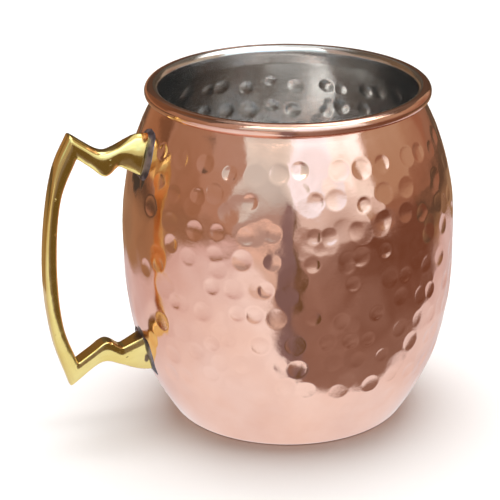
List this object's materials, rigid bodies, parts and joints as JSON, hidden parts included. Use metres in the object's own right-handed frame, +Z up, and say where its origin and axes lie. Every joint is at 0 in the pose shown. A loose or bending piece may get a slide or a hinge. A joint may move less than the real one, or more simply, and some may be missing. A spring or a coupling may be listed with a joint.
{
  "type": "mug",
  "caption": "Barrel-shaped hammered copper drinking mug with a wired rolled lip, a thin silvery lining and a cast brass handle brazed to the wall.",
  "frame": {"origin": "centre of the flat base, on the axis of the round body", "axes": "+Z up along the body's axis; the handle reaches out along -X, so the XZ plane is the plane of symmetry; -Z is the way the base faces"},
  "size_m": [0.1222, 0.0964, 0.099],
  "materials": {
    "copper": "polished copper, hammered in shallow round dimples, lacquered",
    "wire": "plain drawn wire, hidden inside the lip",
    "lining": "nickel lining with fine circular brush lines",
    "brass": "polished cast brass with small casting pits",
    "braze": "dark, oxidised braze filler, uneven"
  },
  "bodies": {
    "root": {"body_shell": "copper", "rim_wire": "wire", "lining": "lining", "handle": "brass", "braze_upper": "braze", "braze_lower": "braze"}
  },
  "joints": []
}
